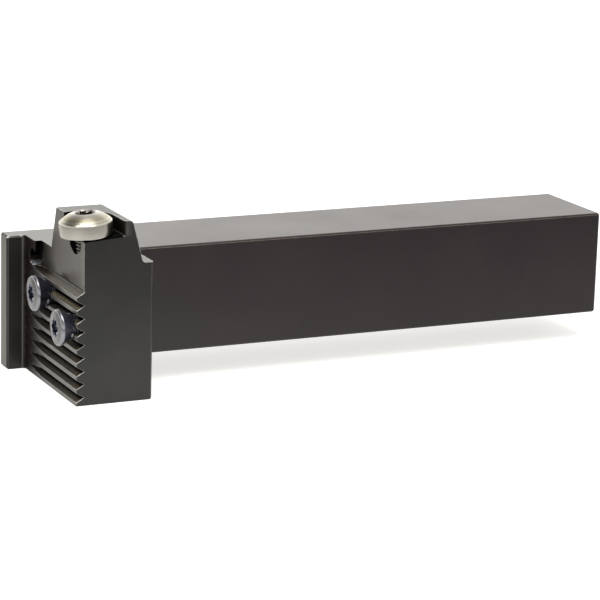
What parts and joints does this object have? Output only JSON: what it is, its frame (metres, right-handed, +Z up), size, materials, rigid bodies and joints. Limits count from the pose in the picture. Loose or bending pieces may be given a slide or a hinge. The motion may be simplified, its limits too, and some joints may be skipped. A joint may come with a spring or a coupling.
{
  "type": "grooving tool holder",
  "caption": "Square-shank steel tool holder with a serrated front seat for a grooving blade, a side flange, a clamping post with a domed screw, and two blade screws.",
  "frame": {"origin": "middle of the shank's rear end face", "axes": "+X out of the rear end along the shank, with the head towards -X; +Z up; the head stands proud of the shank on the -Y side"},
  "size_m": [0.1461, 0.039, 0.0429],
  "materials": {
    "holder_body": "blackened steel, ground to a satin gloss",
    "top_clamp_screw": "bright turned steel",
    "blade_screws": "blued steel, polished rim"
  },
  "bodies": {
    "holder": {"holder_body": "holder_body"},
    "top_clamp_screw": {"top_clamp_screw": "top_clamp_screw"},
    "upper_blade_screw": {"upper_blade_screw": "blade_screws"},
    "lower_blade_screw": {"lower_blade_screw": "blade_screws"}
  },
  "joints": [
    {"name": "top_clamp_screw_travel", "type": "slide", "parent": "holder", "child": "top_clamp_screw", "axis": [-0.0785, 0, 0.9969], "range_m": [0, 0.007]},
    {"name": "upper_blade_screw_travel", "type": "slide", "parent": "holder", "child": "upper_blade_screw", "axis": [-1, 0, 0], "range_m": [-0.0006, 0.015]},
    {"name": "lower_blade_screw_travel", "type": "slide", "parent": "holder", "child": "lower_blade_screw", "axis": [-1, 0, 0], "range_m": [-0.0006, 0.015]}
  ]
}
